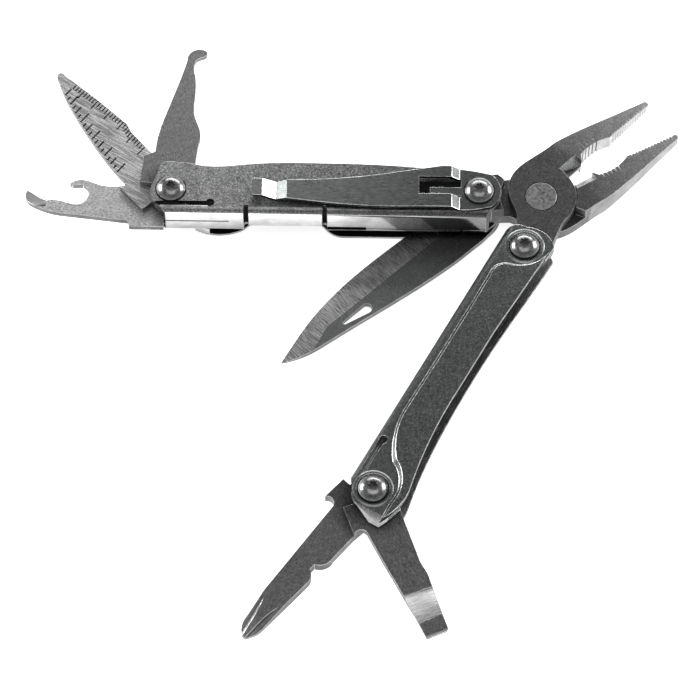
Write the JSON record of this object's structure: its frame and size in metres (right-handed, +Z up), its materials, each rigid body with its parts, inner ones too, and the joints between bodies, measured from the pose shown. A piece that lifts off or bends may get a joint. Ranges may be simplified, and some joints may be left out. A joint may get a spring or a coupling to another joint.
{
  "type": "multi tool",
  "caption": "Folding stainless pliers with sheet-steel channel handles; knife, openers, file and drivers fanned out, with a pocket clip",
  "frame": {"origin": "centre of the bounding box at the level of the surface the tool lies on", "axes": "+Z up out of the surface, pocket clip side up; +X from the upper handle towards the plier jaws; +Y to the side the upper handle's tools open to"},
  "size_m": [0.1816, 0.1804, 0.0175],
  "materials": {
    "handle_steel": "bead-blasted, fine grey speckle",
    "cover_steel": "dull dark satin",
    "clip_steel": "fine satin",
    "jaw_steel": "dark satin with ground edges",
    "blade_steel": "bright, brushed across",
    "opener_steel": "satin brushed",
    "driver_steel": "satin with ground tips",
    "fastener_steel": "polished",
    "washer_steel": "plain"
  },
  "bodies": {
    "upper_handle": {"upper_handle": "handle_steel", "knife_cover": "cover_steel", "pocket_clip": "clip_steel", "knife_washer": "washer_steel", "jaw_spacer": "washer_steel", "upper_plier_screw": "fastener_steel", "upper_plier_nut": "fastener_steel", "upper_tool_screw": "fastener_steel", "upper_tool_nut": "fastener_steel", "upper_tool_washers": "washer_steel"},
    "far_jaw": {"far_jaw": "jaw_steel", "jaw_rivet": "fastener_steel"},
    "near_jaw": {"near_jaw": "jaw_steel"},
    "lower_handle": {"lower_handle": "handle_steel", "lower_plier_screw": "fastener_steel", "lower_plier_nut": "fastener_steel", "lower_tool_screw": "fastener_steel", "lower_tool_nut": "fastener_steel", "lower_tool_washers": "washer_steel"},
    "knife_blade": {"knife_blade": "blade_steel"},
    "package_opener": {"package_opener": "opener_steel"},
    "file_ruler": {"file_ruler": "blade_steel"},
    "can_opener": {"can_opener": "opener_steel"},
    "phillips_driver": {"phillips_driver": "driver_steel"},
    "flat_driver": {"flat_driver": "driver_steel"}
  },
  "joints": [
    {"name": "upper_handle_pivot", "type": "hinge", "parent": "upper_handle", "child": "far_jaw", "pos_m": [0.0349, 0.0429, 0], "axis": [0, 0, -1], "range_deg": [-149, 14.3]},
    {"name": "jaw_pivot", "type": "hinge", "parent": "far_jaw", "child": "near_jaw", "pos_m": [0.0521, 0.04311, 0], "axis": [0, 0, 1], "range_deg": [-15.5, 18]},
    {"name": "lower_handle_pivot", "type": "hinge", "parent": "near_jaw", "child": "lower_handle", "pos_m": [0.04716, 0.02663, 0], "axis": [0, 0, -1], "range_deg": [-163.3, 0]},
    {"name": "knife_pivot", "type": "hinge", "parent": "upper_handle", "child": "knife_blade", "pos_m": [0.0349, 0.0429, 0], "axis": [0, 0, 1], "range_deg": [-40.6, 139.4]},
    {"name": "package_opener_pivot", "type": "hinge", "parent": "upper_handle", "child": "package_opener", "pos_m": [-0.05009, 0.04423, 0], "axis": [0, 0, 1], "range_deg": [-83.4, 96.6]},
    {"name": "file_pivot", "type": "hinge", "parent": "upper_handle", "child": "file_ruler", "pos_m": [-0.05009, 0.04423, 0], "axis": [0, 0, 1], "range_deg": [-132.9, 47.1]},
    {"name": "can_opener_pivot", "type": "hinge", "parent": "upper_handle", "child": "can_opener", "pos_m": [-0.05009, 0.04423, 0], "axis": [0, 0, 1], "range_deg": [-180, 0]},
    {"name": "phillips_pivot", "type": "hinge", "parent": "lower_handle", "child": "phillips_driver", "pos_m": [0.00543, -0.04742, 0], "axis": [0, 0, -1], "range_deg": [-193.6, 0]},
    {"name": "flat_driver_pivot", "type": "hinge", "parent": "lower_handle", "child": "flat_driver", "pos_m": [0.00543, -0.04742, 0], "axis": [0, 0, -1], "range_deg": [-131.1, 62.5]}
  ]
}
